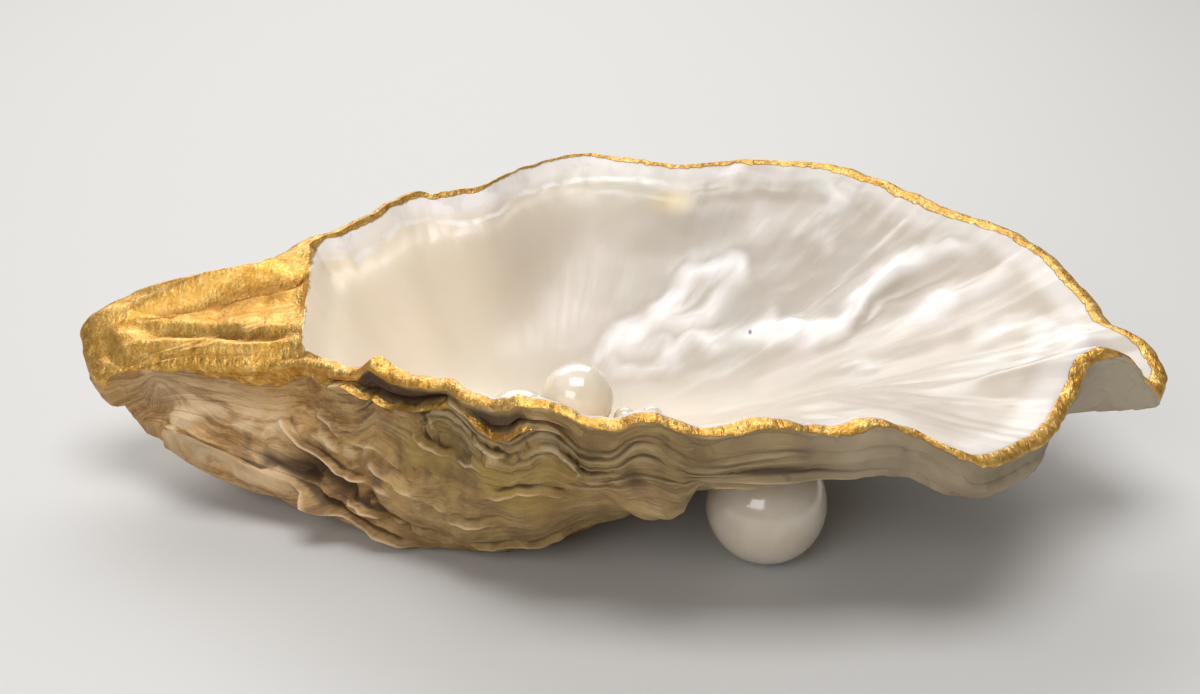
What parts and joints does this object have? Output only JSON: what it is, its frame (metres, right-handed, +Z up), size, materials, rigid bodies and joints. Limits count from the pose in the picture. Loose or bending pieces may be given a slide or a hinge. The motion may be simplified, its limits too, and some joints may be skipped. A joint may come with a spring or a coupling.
{
  "type": "oyster shell trinket dish",
  "caption": "Small dish made from a cupped oyster shell: pearly bowl, layered outside, gold-painted hinge and wavy rim, standing on its belly and pearl feet, with loose pearls inside.",
  "frame": {"origin": "on the table under the middle of the dish's bounding box", "axes": "+X from the beak to the frilled end, +Y from the front rim to the back rim, +Z up"},
  "size_m": [0.1149, 0.0689, 0.0249],
  "materials": {
    "shell": "oyster shell: satin nacre inside, rough layered outside, gold paint on hinge and rim",
    "pearl": "glossy cream pearl bead"
  },
  "bodies": {
    "root": {"shell": "shell", "pearl_foot_front": "pearl", "pearl_foot_back": "pearl", "pearl_large": "pearl", "pearl_left": "pearl", "pearl_small_inner": "pearl", "pearl_small_outer": "pearl"}
  },
  "joints": []
}
